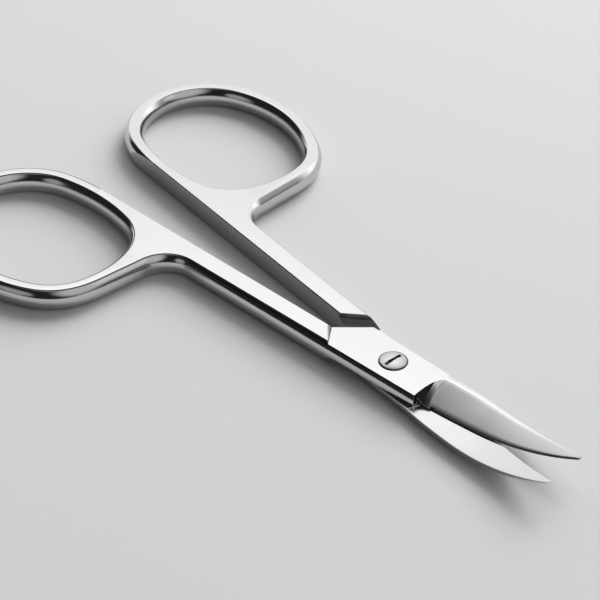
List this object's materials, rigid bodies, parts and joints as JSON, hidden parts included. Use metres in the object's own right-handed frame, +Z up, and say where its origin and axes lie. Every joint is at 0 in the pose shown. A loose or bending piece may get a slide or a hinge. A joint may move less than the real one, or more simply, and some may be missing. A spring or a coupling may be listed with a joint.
{
  "type": "cuticle scissors",
  "caption": "Small all-steel cuticle scissors with oval finger rings and fine curved blades, joined by a slotted pivot screw.",
  "frame": {"origin": "on the pivot axis, at the height of the table that the scissors lie on", "axes": "+X from the rings towards the blade tips, +Y towards the lower half's finger ring, +Z up along the pivot axis"},
  "size_m": [0.0894, 0.0546, 0.0044],
  "materials": {
    "polished_steel": "polished, with fine brush lines on the flat faces",
    "screw_steel": "satin, turned"
  },
  "bodies": {
    "lower": {"lower_half": "polished_steel", "pivot_screw": "screw_steel"},
    "upper": {"upper_half": "polished_steel"}
  },
  "joints": [
    {"name": "pivot", "type": "hinge", "parent": "lower", "child": "upper", "pos_m": [0, 0, 0.0015], "axis": [0, 0, 1], "range_deg": [-9.8, 60]}
  ]
}
